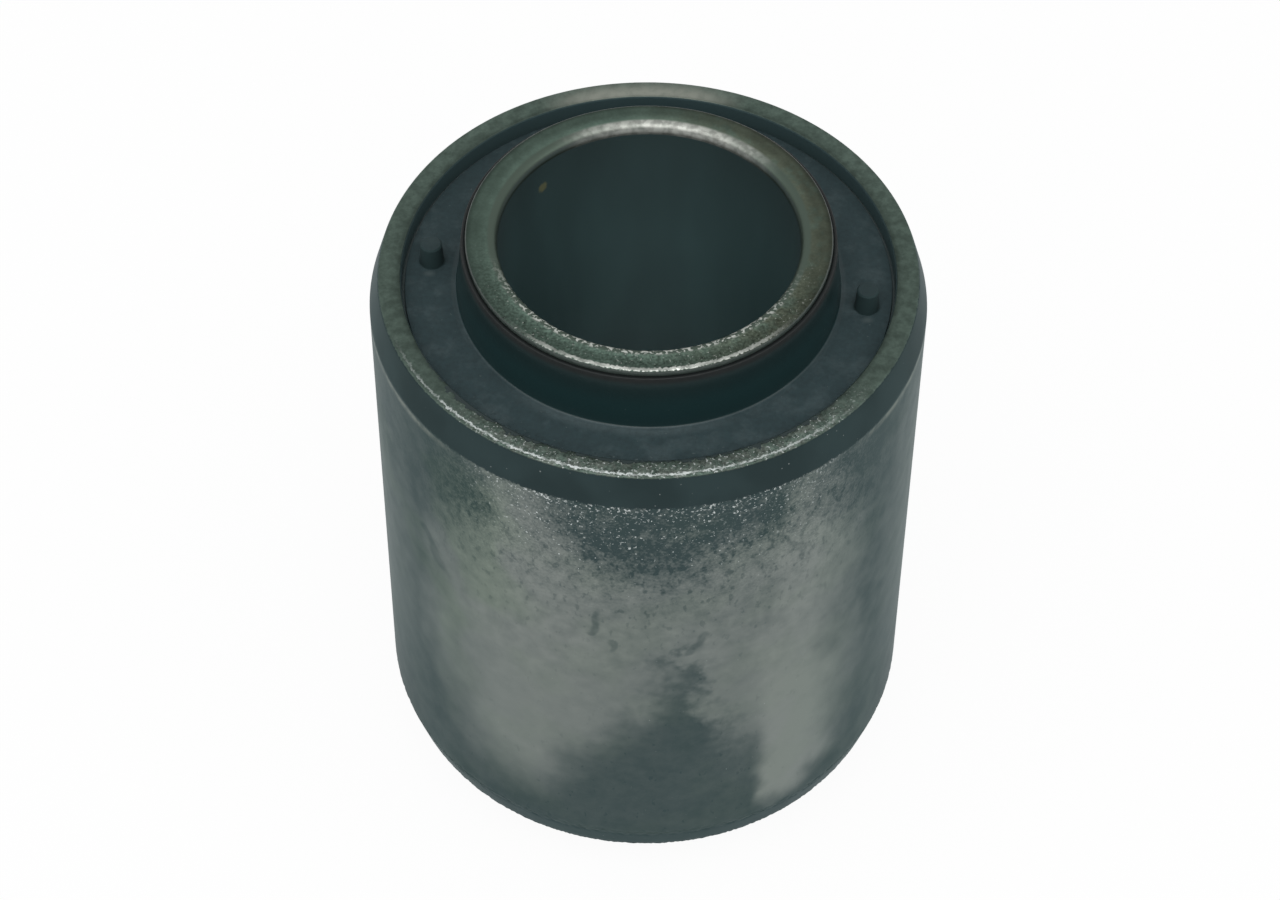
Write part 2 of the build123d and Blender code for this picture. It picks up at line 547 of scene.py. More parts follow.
def wall_pits(graph, wall_map, blasted_side):
    """Small dark pits, most of them on the blasted side, and the larger dents."""
    taller = graph.times(graph.place, (1.0, 1.0, 0.6))
    fewer_above = graph.depth.ramp(4.0, 9.0, 0.75, 0.55, smooth=False)
    fewer_below = graph.depth.ramp(12.0, 30.0, 0.55, 0.68, smooth=False)
    threshold = fewer_below.at_least(fewer_above) - 0.04
    pits = (graph.three_noises(1.4, 2.0, 0.5, taller)[0].above(threshold, 0.12)
            * (blasted_side * 0.9 + 0.1) * graph.depth.ramp(30.0, 16.0, 0.25, 0.6))
    return pits.at_least(wall_dents(wall_map) * 0.7)


def blasted_wall(graph, settings, blasted_side, grainy):
    """The plain wall's colour, and its tone from 0 where it is stained to 1 where it shows burnish and
    painted reflections of the lit floor.
    """
    wall_map = WallMap(graph, settings.outer_radius / MM)
    speckle = (graph.fine[0] - 0.5) * grainy * 1.3
    mottle = ((wall_map.blotches[2] - 0.5) * (blasted_side * 0.85 + 0.15)
              * graph.depth.ramp(38.0, 14.0, 0.15, 0.8))
    broad = (wall_map.lumps - 0.5) * graph.depth.ramp(46.0, 30.0, 0.15, 0.4)
    tone = wall_tone(wall_map) + speckle + mottle + broad
    tone = graph.math("SUBTRACT", tone, wall_pits(graph, wall_map, blasted_side) * 0.5, clamp=True)
    wall = graph.mix(tone, settings.stained, settings.burnish_and_reflection)
    olive_side = wall_map.zone((-174, -152, -126, -112), (2, 8, 26, 42))
    olive = wall_map.tint.ramp(0.42, 0.62) * (olive_side * 0.6 + 0.25)
    return graph.mix(olive, wall, graph.times(wall, (0.92, 1.0, 0.88))), tone


def wall_near_ends(graph, settings, wall, lower_end):
    """The wall with its dim foot and darker lower taper, both painted shade near the floor, bright flecks
    below the band that are partly painted glints, and a pale line along the band's edge.
    """
    depth = graph.depth
    lead_in = settings.lead_in_length / MM
    # the lower taper, facing down, is painted darker than the wall, and the wall's foot is painted dimmer
    # away from the worn side: both painted shade near the floor
    under = lower_end * graph.end_depth.ramp(lead_in, lead_in - 0.5)
    wall = graph.mix(under, wall, graph.times(wall, (0.40, 0.54, 0.58)))
    limb = graph.side(WORN_AND_LIT_SIDE).ramp(0.6, 0.35) * depth.ramp(46.0, 57.0)
    wall = graph.mix(limb, wall, graph.times(wall, (0.74, 0.76, 0.77)))
    # bright flecks, partly grains and partly painted glints on the worn side, thin out from the band
    # downwards
    near_band = depth.ramp(lead_in + 0.9, lead_in, 0.0, 0.05)
    threshold = depth.ramp(lead_in, 20.0, 0.6, 0.76, smooth=False) - near_band
    brightness = graph.coarse[1].ramp(0.3, 0.7, 0.15, 0.9) * graph.near(WORN_AND_LIT_SIDE, 24.0, 46.0)
    wall = graph.mix(graph.fine[1].above(threshold) * brightness, wall, settings.bare_and_glint_colour)
    # the line shows where the wall wasn't blasted
    pale_line = (depth.between(lead_in + 0.1, lead_in + 0.35, lead_in + 0.5, lead_in + 1.3)
                 * (1.0 - graph.near(WORN_AND_LIT_SIDE, 40.0, 56.0))
                 * graph.coarse[2].ramp(0.35, 0.6, 0.15, 0.4))
    return graph.mix(pale_line, wall, settings.polish_and_highlight_colour)


def tapered_band(graph, settings):
    """The smooth dark band of the taper, with a few bright specks."""
    specks = graph.grains(0.22, 0.006) * 0.4
    band = graph.mix(specks, settings.lead_in_colour, settings.bare_and_glint_colour)
    return graph.scaled(band, graph.noise(graph.place, 0.15).ramp(0.35, 0.65, 0.9, 1.12))


def granular_rim(graph, settings, coarseness, across_rim):
    """The sleeve's sawn end: granular at the front, with painted glints and a bright edge that is partly
    wear and partly a painted highlight, and smoother round the back, where it is painted paler and has a
    painted highlight.
    """
    fine, coarse = graph.fine, graph.coarse
    rim_radius = (settings.outer_radius - settings.lead_in_depth) / MM
    rim = graph.mix(coarse[2].ramp(0.4, 0.62) * coarseness, settings.rim_colour, settings.rim_tint)
    grainy = (fine[1] - 0.5) * (coarseness * 1.7 + 0.5) + 1.0
    patches = coarse[0].ramp(0.3, 0.7, 0.8, 1.2)
    # paler at the back: painted light
    paler_back = graph.side(BACK).ramp(0.0, 0.7, 1.0, 1.12)
    outward = across_rim.ramp(0.4, 1.7, 0.0, coarseness * 0.35 + 0.1)
    dim_border = across_rim.ramp(0.2, 0.7, 0.72, 1.0)
    rim = graph.scaled(rim, grainy * patches * paler_back * (outward + dim_border))
    # bright specks at the front: painted glints
    rim = graph.mix(fine[0].above(0.61) * coarseness * 0.8, rim, settings.bare_and_glint_colour)
    # a painted highlight: a smooth pale stretch at the back of the rim
    painted_shine = (graph.side(92.0).ramp(0.9, 0.995) * coarse[1].ramp(0.3, 0.6, 0.75, 1.0)
                * across_rim.ramp(-0.1, 0.4) * across_rim.ramp(2.3, 0.6, 0.25, 1.0))
    rim = graph.mix(painted_shine, rim, settings.polish_and_highlight_colour)
    # a bright line of bare metal, partly wear and partly a painted highlight, just inside the rim's dim
    # outer edge
    edge_dim = graph.radius.ramp(rim_radius - 0.28, rim_radius - 0.12, 0.0, 0.35) * coarseness
    rim = graph.scaled(rim, 1.0 - edge_dim)
    ragged_radius = graph.radius.wander(0.17, fine[2]).wander(0.14, coarse[0])
    worn_and_lit = (ragged_radius.between(rim_radius - 0.62, rim_radius - 0.46, rim_radius - 0.38, rim_radius - 0.25)
            * graph.side(-99.0).ramp(0.45, 1.0) * coarse[1].ramp(0.36, 0.58, 0.3, 1.0))
    return graph.mix(worn_and_lit, rim, graph.times(settings.bare_and_glint_colour, (1.35, 1.35, 1.35)))


def outer_sleeve_finish(settings):
    """Blasted, dark phosphated steel with a smooth tapered band and a granular rim."""
    graph = PieceGraph("outer sleeve steel", settings.half_length, (3.2, 2.0, 0.6), (0.9, 3.0, 0.6))
    fine, coarse = graph.fine, graph.coarse
    lead_in = settings.lead_in_length / MM
    lower_end = graph.z.ramp(0.5, -0.5)
    blasted_side = graph.near(WORN_AND_LIT_SIDE, 26.0, 58.0)
    grainy = graph.depth.ramp(24.0, 9.0, 0.05, 1.0) * (blasted_side * 0.88 + 0.12)
    wall, tone = blasted_wall(graph, settings, blasted_side, grainy)
    wall = wall_near_ends(graph, settings, wall, lower_end)

    # the band's edge towards the wall is ragged, because the blasting ran over it
    ragged = graph.end_depth.wander(0.16, fine[2])
    wall_share = ragged.ramp(lead_in - 0.12, lead_in + 0.12).at_least(lower_end)
    body = graph.mix(wall_share, tapered_band(graph, settings), wall)
    coarseness = graph.near(-87.0, 26.0, 56.0)
    across_rim = graph.radius - settings.inner_radius / MM
    rim_share = graph.end_depth.wander(0.06, fine[1]).ramp(0.18, 0.06)
    surface = graph.mix(rim_share, body, granular_rim(graph, settings, coarseness, across_rim))

    # a dark coat is left on the inner wall above the rubber; at the front it reaches onto the rim in chips
    # and painted shade, and the ragged darker line along its edge is partly chips and partly painted shade
    chips_and_shade = (coarse[2] - 0.36) * graph.near(-98.0, 40.0, 62.0) * 2.3
    inside = (across_rim - chips_and_shade.at_least(0.0)).ramp(0.14, 0.02)
    surface = graph.mix(inside, surface, settings.coat_colour)
    crack_and_shade = inside * across_rim.ramp(0.02, 0.1, 0.0, 0.9)
    surface = graph.mix(crack_and_shade, surface, settings.crack_and_shade_colour)

    metal = 1.0 - inside
    rim_grain = rim_share * (coarseness * 0.75 + 0.25)
    grain = (wall_share * grainy).at_least(rim_grain) * metal
    return graph.finish(surface, metal, rough=0.46 - tone * 0.1, height=(fine[0] + fine[1]) * grain,
                        bump_mm=0.10, bump_strength=0.6, edge_tint=(0.70, 0.76, 0.76))


def sawn_face(graph, settings, front, coarseness):
    """The inner sleeve's end face: olive-grey, browner on one side, and bright along its outer edge at the
    front, partly wear and partly a painted highlight.
    """
    fine, coarse = graph.fine, graph.coarse
    mouth_radius = (settings.bore_radius + settings.bore_edge) / MM
    outer_radius = settings.outer_radius / MM
    brown = graph.side(5.0).ramp(-0.2, 0.8) * coarse[1].ramp(0.3, 0.55, 0.4, 1.0)
    face = graph.mix(brown, settings.face_colour, settings.tint_colour)
    grainy = (fine[0] - 0.5) * (coarseness * 1.9 + 0.4) + 1.0
    face = graph.scaled(face, grainy * coarse[0].ramp(0.3, 0.7, 0.88, 1.12))
    # paler towards the mouth, most of all at the front and at the back, and darker at the outer edge
    glow = graph.radius.ramp(mouth_radius + 1.1, mouth_radius - 0.1) * (abs(front) * 0.55 + 0.25)
    border = front.ramp(0.2, -0.6, 0.66, 0.45)
    dim_border = graph.radius.ramp(outer_radius - 0.8, outer_radius - 0.1, 1.0, border)
    face = graph.scaled(face, (glow + 1.0) * dim_border)
    # bright flecks at the front: painted glints
    face = graph.mix(fine[1].above(0.66) * coarseness * 0.45, face, settings.bare_and_glint_colour)
    # a bare edge at the front, partly wear and partly a painted highlight
    ragged_radius = graph.radius.wander(0.13, fine[2])
    lit_worn_side = graph.side(WORN_AND_LIT_SIDE).ramp(0.5, 1.0)
    worn_and_lit = (ragged_radius.between(outer_radius - 0.58, outer_radius - 0.42,
                                  outer_radius - 0.24, outer_radius - 0.1)
            * coarse[2].ramp(0.35, 0.6, 0.45, 1.0) * lit_worn_side * lit_worn_side)
    return graph.mix(worn_and_lit, face, settings.bare_and_glint_colour)


def bore_coat(graph, settings):
    """The smooth dark coat down the bore, painted paler further down as light against the shade deep in the
    bore, with faint streaks and one tan fleck.
    """
    bore_radius = settings.bore_radius / MM
    # painted light: paler further down, against the bore's shade
    deeper = graph.end_depth.ramp(1.0, 30.0, 0.86, 3.3, smooth=False)
    drawn_out = graph.times(graph.place, (1.0, 1.0, 0.3))
    streaks = graph.noise(drawn_out, 0.16).ramp(0.35, 0.65, 0.92, 1.07)
    coat = graph.scaled(settings.bore_colour, deeper * streaks)
    bearing = math.radians(settings.fleck_bearing)
    fleck_place = (bore_radius * math.cos(bearing), bore_radius * math.sin(bearing),
                   settings.fleck_height / MM)
    fleck = graph.distance_from(fleck_place).wander(0.1, graph.fine[1]).ramp(0.75, 0.35)
    return graph.mix(fleck, coat, settings.fleck_colour)


def inner_sleeve_finish(settings):
    """Olive-grey sawn and tumbled steel with worn edges, and a smooth dark coat down the bore."""
    graph = PieceGraph("inner sleeve steel", settings.half_length, (3.4, 2.0, 0.6), (0.6, 3.0, 0.6))
    fine, end_depth = graph.fine, graph.end_depth
    bore_radius = settings.bore_radius / MM
    mouth_radius = bore_radius + settings.bore_edge / MM
    outer_radius = settings.outer_radius / MM
    front = graph.side(-92.0)
    coarseness = front.ramp(0.0, 0.8)
    face = sawn_face(graph, settings, front, coarseness)

    # the mouth's rounding is smooth, with painted shade that darkens it into the bore, a painted highlight
    # at the back and painted glints at the front
    mouth = graph.radius.ramp(mouth_radius + 0.15, mouth_radius - 0.25)
    rounding = graph.scaled(settings.mouth_colour, end_depth.ramp(0.1, 1.0, 1.0, 0.5))
    painted_shine = graph.side(81.0).ramp(0.66, 1.0) * graph.coarse[1].ramp(0.3, 0.6, 0.7, 1.0)
    dappled = graph.three_noises(1.3)[0].ramp(0.36, 0.62, 0.75, 1.2)
    outward = graph.radius.ramp(bore_radius + 0.1, bore_radius + 0.6, 0.94, 1.5)
    shine = graph.scaled(settings.polish_and_highlight_colour, dappled * outward)
    face = graph.mix(mouth, face, graph.mix(painted_shine, rounding, shine))
    glints = graph.three_noises(2.1, 2.0, 0.6)[0].above(0.5, 0.08)
    sparkle = mouth * front.ramp(0.2, 0.8) * glints * 0.9
    face = graph.mix(sparkle, face, settings.bare_and_glint_colour)

    inside = end_depth.ramp(0.95, 1.2)
    surface = graph.mix(inside, face, bore_coat(graph, settings))
    # low in the rounding the painted highlight goes on as a soft plain colour, and it ends a little way down
    # the bore
    low = end_depth.between(0.28, 0.55, 0.55, 1.12) * graph.side(BACK).ramp(-0.2, 0.5)
    soft = graph.mix(painted_shine * 0.8, settings.soft_mouth_colour, shine)
    surface = graph.mix(low, surface, soft)
    # the outside above the rubber is dull
    outside = graph.radius.ramp(outer_radius - 0.16, outer_radius - 0.06)
    surface = graph.mix(outside, surface, settings.outside_colour)

    metal = 1.0 - inside.at_least(outside).at_least(low)
    grain = (coarseness * 0.7 + 0.3) * (1.0 - mouth * 0.6) * metal
    return graph.finish(surface, metal, rough=inside * 0.1 + mouth * 0.1 + 0.38, height=fine[0] * grain,
                        bump_mm=0.07, bump_strength=0.5)


SMEARS = ((178.0, 22.0), (-12.6, 22.3))     # bearing in degrees and distance from the axis in mm


def rubber_face(graph, settings, foot_radius, raised):
    """The end faces: bloom in patches, a painted highlight beside the collar's foot, a crumbly stretch and
    two smears.
    """
    fine, broad = graph.fine, graph.coarse
    # a painted highlight along the front of the collar's foot
    beside_collar = (graph.radius.ramp(foot_radius + 1.6, foot_radius + 0.4) * broad[1].ramp(0.3, 0.5)
                     * graph.near(-98.0, 14.0, 40.0))
    bloom_and_highlight = broad[0].ramp(0.46, 0.7, 0.0, 0.55).at_least(beside_collar)
    face = graph.mix(bloom_and_highlight, settings.face_colour, settings.bloom_and_highlight_colour)
    face = graph.scaled(face, fine[0].ramp(0.3, 0.7, 0.85, 1.15, smooth=False))
    crumbly = graph.near(-106.0, 18.0, 44.0) * graph.radius.ramp(22.0, 24.0)
    crumbs = fine[1].above(0.7 - crumbly * 0.09)
    face = graph.mix(crumbs * 0.55, face, settings.dust_and_fill_colour)
    face = graph.mix(fine[2].above(0.6) * crumbly * 0.8, face, settings.shade_and_crumb_colour)
    for bearing, distance in SMEARS:
        face = graph.mix(graph.smear(bearing, distance, 0.9), face, settings.dust_and_fill_colour)
    return graph.mix(raised.ramp(0.3, 1.0, 0.0, 0.55), face, settings.shade_and_crumb_colour)


def rubber_finish(settings):
    """Blue-black moulded rubber with a little bloom on its end faces, and steep sides painted darker as
    shade.
    """
    lip_height = node_top("rubber_element")
    graph = PieceGraph("moulded rubber", lip_height, (2.2, 3.0, 0.6), (0.35, 3.0, 0.6))
    fine, below_lip = graph.fine, graph.end_depth
    inner = bpy.context.scene.bush_inner_sleeve
    outer = bpy.context.scene.bush_outer_sleeve
    foot_radius = (inner.outer_radius + settings.collar_foot) / MM
    groove_edge = (outer.inner_radius - settings.groove_width) / MM
    raised = abs(graph.z) - (outer.half_length - settings.face_recess) / MM
    face = rubber_face(graph, settings, foot_radius, raised)

    # the steep sides: scratched, paler at the collar's foot and on the pegs, and darkest at the lip, where
    # the darkening is painted shade against the inner sleeve
    on_peg = graph.radius.ramp(foot_radius + 0.4, foot_radius + 0.7)
    side = graph.mix(fine[2].above(0.71) * 0.5, settings.shade_and_crumb_colour, settings.dust_and_fill_colour)
    side = graph.scaled(side, below_lip.ramp(4.0, 1.5, 1.45, 0.95).at_least(on_peg * 1.15))
    side = graph.scaled(side, below_lip.ramp(1.0, 0.3, 1.0, 0.2))

    # level places beyond the collar get the face's colour, and the groove is lightened with the dust colour:
    # painted light that lifts its shade
    normal = graph.add("ShaderNodeNewGeometry").outputs["Normal"]
    beyond_collar = graph.radius.ramp(foot_radius - 0.15, foot_radius + 0.05)
    # steep places keep the darker side colour, which is painted shade
    level = abs(graph.split(normal)[2]).ramp(0.72, 0.93) * beyond_collar
    surface = graph.mix(level, side, face)
    groove_fill_light = raised.ramp(0.0, -0.1) * graph.radius.ramp(groove_edge - 0.05, groove_edge + 0.03)
    surface = graph.mix(groove_fill_light * 0.6, surface, settings.dust_and_fill_colour)

    matt = level.at_least(on_peg).at_least(below_lip.ramp(1.6, 0.0))
    return graph.finish(surface, 0.0, rough=matt * 0.24 + on_peg * 0.25 + 0.36, height=fine[0],
                        bump_mm=0.05, bump_strength=0.35)


# ---- Turned forms ------------------------------------------------------------

class Corner:
    """One corner of a turned piece's outline."""

    def __init__(self, radius, height, rounding=0.0, grain=0.0, grain_after=0.0):
        self.place = Vector((radius, height))
        self.rounding = rounding        # how far from the corner the rounding starts
        self.grain = grain              # share of the relief at the corner
        self.grain_after = grain_after  # share of the relief on the face that follows


ROUNDING_STEPS = 7
FINE_PITCH = 0.16 * MM          # spacing of an outline's points beside a corner
COARSE_PITCH = 3.0 * MM         # widest spacing, in the middle of a long stretch
PITCH_GROWTH = 1.6              # how much wider each step is than the one before it
GRAIN_REACH = 0.5 * MM          # how far a corner's own grain reaches along its faces
SHORTEST_STRETCH = 0.02 * MM
ROUGHEST_SIDE = math.radians(-92)


def graded_steps(distance):
    """Places along a straight stretch, close together at both ends and wider in between."""
    places = []
    here = 0.0
    step = FINE_PITCH
    while here < distance / 2:
        places.append(here)
        here += step
        step = min(step * PITCH_GROWTH, COARSE_PITCH)
    mirrored = [distance - place for place in reversed(places[1:])]
    if mirrored and mirrored[0] - places[-1] < FINE_PITCH:
        mirrored = mirrored[1:]
    return places + mirrored


def turned_outline(corners):
    """Closed outline through the corners: a list of (radius, height, grain)."""
    points = []
    count = len(corners)
    for index, corner in enumerate(corners):
        before = corners[index - 1]
        after = corners[(index + 1) % count]
        inward = (before.place - corner.place).normalized()
        outward = (after.place - corner.place).normalized()
        if corner.rounding > 0.0:
            start = corner.place + inward * corner.rounding
            end = corner.place + outward * corner.rounding
            for step in range(ROUNDING_STEPS):
                share = step / ROUNDING_STEPS
                place = start * (1 - share) ** 2 + corner.place * 2 * share * (1 - share) + end * share ** 2
                points.append((place.x, place.y, corner.grain))
        first = corner.place + outward * corner.rounding
        last = after.place - outward * after.rounding
        distance = (last - first).length
        if distance < SHORTEST_STRETCH:
            continue
        for travelled in graded_steps(distance):
            place = first + outward * travelled
            near_start = max(0.0, 1.0 - travelled / GRAIN_REACH)
            near_end = max(0.0, 1.0 - (distance - travelled) / GRAIN_REACH)
            grain = max(corner.grain_after, corner.grain * near_start, after.grain * near_end)
            points.append((place.x, place.y, grain))
    return points


def both_ends(upper_corners, lower_relief=1.0):
    """All corners of an outline, given those above mid-length from inside to outside.

    Lower relief is how much of the upper end's relief the lower end has.
    """
    lower_corners = []
    for index in range(len(upper_corners) - 1, -1, -1):
        corner = upper_corners[index]
        grain_after = upper_corners[index - 1].grain_after if index else 0.0
        lower_corners.append(Corner(corner.place.x, -corner.place.y, corner.rounding,
                                    corner.grain * lower_relief, grain_after * lower_relief))
    return upper_corners + lower_corners


def outline_curve(name, outline, path_radius):
    """A closed curve of the outline, ready to be swept. A point's radius holds its share of the relief."""
    curve = bpy.data.curves.new(name, "CURVE")
    curve.dimensions = "3D"
    spline = curve.splines.new("POLY")
    spline.points.add(len(outline) - 1)
    for point, (radius, height, grain) in zip(spline.points, reversed(outline)):
        point.co = (radius - path_radius, height, 0.0, 1.0)
        point.radius = grain
    spline.use_cyclic_u = True
    made = bpy.data.objects.new(name, curve)
    bpy.context.scene.collection.objects.link(made)
    return made


SOCKET_KINDS = {float: "NodeSocketFloat", int: "NodeSocketInt", type(None): "NodeSocketMaterial"}


def new_geometry_tree(name, defaults):
    """A Geometry Nodes tree with a geometry input and these inputs, and the values that it is given."""
    tree = bpy.data.node_groups.new(name, "GeometryNodeTree")
    tree.interface.new_socket("Geometry", in_out="INPUT", socket_type="NodeSocketGeometry")
    for label, default in defaults.items():
        socket = tree.interface.new_socket(label, in_out="INPUT", socket_type=SOCKET_KINDS[type(default)])
        if default is not None:
            socket.default_value = default
    tree.interface.new_socket("Geometry", in_out="OUTPUT", socket_type="NodeSocketGeometry")
    graph = NodeGraph(tree)
    outputs = graph.add("NodeGroupInput").outputs
    return graph, {output.name: Value(graph, output) for output in outputs}


def end_tree(graph, geometry, material):
    """Realize Instances, Set Material and the tree's output."""
    real = graph.add("GeometryNodeRealizeInstances", {"Geometry": geometry}).outputs[0]
    dressed = graph.add("GeometryNodeSetMaterial", {"Geometry": real, "Material": material}).outputs[0]
    graph.add("NodeGroupOutput", {0: dressed})
    return graph.tree


def turning_tree():
    """Sweeps an outline around the bore axis and raises its grain."""
    graph, given = new_geometry_tree("Turned form", {
        "Path Radius": 0.02,
        "Segments": 256,
        "Relief Depth": 0.0,
        "Relief Scale": 2000.0,
        "Roughest Side": 0.0,
        "Material": None,
    })
    share = graph.add("GeometryNodeInputRadius").outputs[0]
    captured = graph.add("GeometryNodeCaptureAttribute", {"Geometry": given["Geometry"]})
    captured.capture_items.new("FLOAT", "Grain")
    graph.connect(share, captured.inputs["Grain"])
    circle = graph.add("GeometryNodeCurvePrimitiveCircle",
                       {"Resolution": given["Segments"], "Radius": given["Path Radius"]}, mode="RADIUS")
    swept = graph.add("GeometryNodeCurveToMesh",
                      {"Curve": circle.outputs[0], "Profile Curve": captured.outputs["Geometry"]}).outputs[0]
    place = graph.add("GeometryNodeInputPosition").outputs[0]
    relief = graph.noise(place, given["Relief Scale"], 2.0, 0.6)
    sunk = relief.ramp(0.62, 0.32, 0.0, -1.0, smooth=False)
    x, y, _ = graph.split(place)
    off = graph.math("ARCTAN2", y, x) - given["Roughest Side"]
    roughness = graph.math("COSINE", off).ramp(-0.2, 0.7, 0.35, 1.0)
    depth = sunk * given["Relief Depth"] * (captured.outputs["Grain"] * roughness)
    normal = graph.add("GeometryNodeInputNormal").outputs[0]
    offset = graph.scaled(normal, depth)
    moved = graph.add("GeometryNodeSetPosition", {"Geometry": swept, "Offset": offset}).outputs[0]
    smooth = graph.add("GeometryNodeSetShadeSmooth", {0: moved}).outputs[0]
    return end_tree(graph, smooth, given["Material"])


PEG_SIDES = 40
PEG_ROOT_DEPTH = 0.5 * MM       # how far a peg reaches down into the moulding, so that the two merge
MERGE_DISTANCE = 0.001 * MM


def peg_tree():
    """Adds tapered pegs to a moulding's upper face and merges them with it."""
    graph, given = new_geometry_tree("Moulded pegs", {
        "Count": 2,
        "Circle Radius": 0.02,
        "First Angle": 0.0,
        "Spacing": math.pi,
        "Face Height": 0.0,
        "Foot Radius": 0.001,
        "Top Radius": 0.001,
        "Peg Height": 0.002,
        "Edge": 0.0001,
        "Root Depth": 0.0005,
        "Material": None,
    })
    index = graph.add("GeometryNodeInputIndex").outputs[0]
    bearing = index * given["Spacing"] + given["First Angle"]
    across = graph.math("COSINE", bearing) * given["Circle Radius"]
    along = graph.math("SINE", bearing) * given["Circle Radius"]
    base = given["Face Height"] - given["Root Depth"]
    place = graph.add("ShaderNodeCombineXYZ", {0: across, 1: along, 2: base}).outputs[0]
    points = graph.add("GeometryNodePoints", {"Count": given["Count"], "Position": place}).outputs[0]

    foot = {"Vertices": PEG_SIDES, "Radius": given["Foot Radius"]}
    disc = graph.add("GeometryNodeMeshCircle", foot, fill_type="NGON").outputs[0]
    shaft = given["Root Depth"] + given["Peg Height"] - given["Edge"]
    body, body_top = raise_disc(graph, disc, None, shaft, given["Top Radius"] / given["Foot Radius"])
    rim_scale = 1.0 - given["Edge"] / given["Top Radius"]
    peg, _ = raise_disc(graph, body, body_top, given["Edge"], rim_scale)
    bottom = graph.add("GeometryNodeFlipFaces", {0: disc}).outputs[0]
    shell = graph.add("GeometryNodeJoinGeometry")
    graph.connect(bottom, shell.inputs[0])
    graph.connect(peg, shell.inputs[0])
    merged = {"Geometry": shell.outputs[0], "Distance": MERGE_DISTANCE}
    closed = graph.add("GeometryNodeMergeByDistance", merged).outputs[0]

    pegs = graph.add("GeometryNodeInstanceOnPoints", {"Points": points, "Instance": closed}).outputs[0]
    real_pegs = graph.add("GeometryNodeRealizeInstances", {"Geometry": pegs}).outputs[0]
    union = graph.add("GeometryNodeMeshBoolean", operation="UNION", solver="EXACT")
    graph.connect(given["Geometry"], union.inputs["Mesh 2"])
    graph.connect(real_pegs, union.inputs["Mesh 2"])
    return end_tree(graph, union.outputs["Mesh"], given["Material"])


def raise_disc(graph, mesh, selection, height, top_scale):
    """Extrude the selected face upwards and scale its new end, as one stage of a peg."""
    inputs = {"Mesh": mesh, "Offset": (0.0, 0.0, 1.0), "Offset Scale": height}
    if selection is not None:
        inputs["Selection"] = selection
    raised = graph.add("GeometryNodeExtrudeMesh", inputs).outputs
    inputs = {"Geometry": raised["Mesh"], "Selection": raised["Top"], "Scale": top_scale}
    return graph.add("GeometryNodeScaleElements", inputs).outputs[0], raised["Top"]


def set_inputs(modifier, values):
    """Fill a Geometry Nodes modifier's inputs, found by name and set by identifier."""
    for item in modifier.node_group.interface.items_tree:
        if item.item_type == "SOCKET" and item.in_out == "INPUT" and item.name in values:
            modifier[item.identifier] = values[item.name]


def plain_mesh(source, name, trees):
    """Run Geometry Nodes trees on an object and return the result as a plain mesh object."""
    for tree, values in trees:
        modifier = source.modifiers.new(tree.name, "NODES")
        modifier.node_group = tree
        set_inputs(modifier, values)
    depsgraph = bpy.context.evaluated_depsgraph_get()
    mesh = bpy.data.meshes.new_from_object(source.evaluated_get(depsgraph), depsgraph=depsgraph)
    bpy.data.objects.remove(source)
    turn_faces_outwards(mesh)
    mesh.name = name
    made = bpy.data.objects.new(name, mesh)
    bpy.context.scene.collection.objects.link(made)
    return made


def turn_faces_outwards(mesh):
    """Point every face of a closed mesh outwards."""
    shell = bmesh.new()
    shell.from_mesh(mesh)
    bmesh.ops.recalc_face_normals(shell, faces=shell.faces)
    if shell.calc_volume(signed=True) < 0.0:
        bmesh.ops.reverse_faces(shell, faces=shell.faces)
    shell.to_mesh(mesh)
    shell.free()


def stand_for(piece, node):
    """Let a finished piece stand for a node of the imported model."""
    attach(piece, "root")
    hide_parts(node)


def turned_piece(name, corners, settings, inside, outside, grains_per_mm, finish, more_trees=()):
    """A ring swept around the bore axis between two radii and grained, as a plain object."""
    path_radius = (inside + outside) / 2
    source = outline_curve(f"{name} outline", turned_outline(corners), path_radius)
    sweep = {
        "Path Radius": path_radius,
        "Segments": settings.segments,
        "Relief Depth": settings.relief_depth,
        "Relief Scale": grains_per_mm / MM,
        "Roughest Side": ROUGHEST_SIDE,
        "Material": finish,
    }
    return plain_mesh(source, name, [(turning_tree(), sweep), *more_trees])


# ---- Pieces ------------------------------------------------------------------

class MakeOuterSleeve(bpy.types.Operator):
    """Make the outer steel sleeve with its tapered ends"""

    bl_idname = "bush.make_outer_sleeve"
    bl_label = "Outer Sleeve"

    def execute(self, context):
        settings = context.scene.bush_outer_sleeve
        top = settings.half_length
        rim_radius = settings.outer_radius - settings.lead_in_depth
        corners = both_ends([
            Corner(settings.inner_radius, top, settings.inner_edge, grain=1.0, grain_after=0.5),
            Corner(rim_radius, top, settings.outer_edge, grain=1.0, grain_after=0.05),
            Corner(settings.outer_radius, top - settings.lead_in_length, rounding=0.25 * MM, grain=0.9),
        ], lower_relief=0.15)
        piece = turned_piece("outer_sleeve_turned", corners, settings, settings.inner_radius,
                             settings.outer_radius, grains_per_mm=2.4,
                             finish=outer_sleeve_finish(settings))
        stand_for(piece, "outer_sleeve")
        return {"FINISHED"}


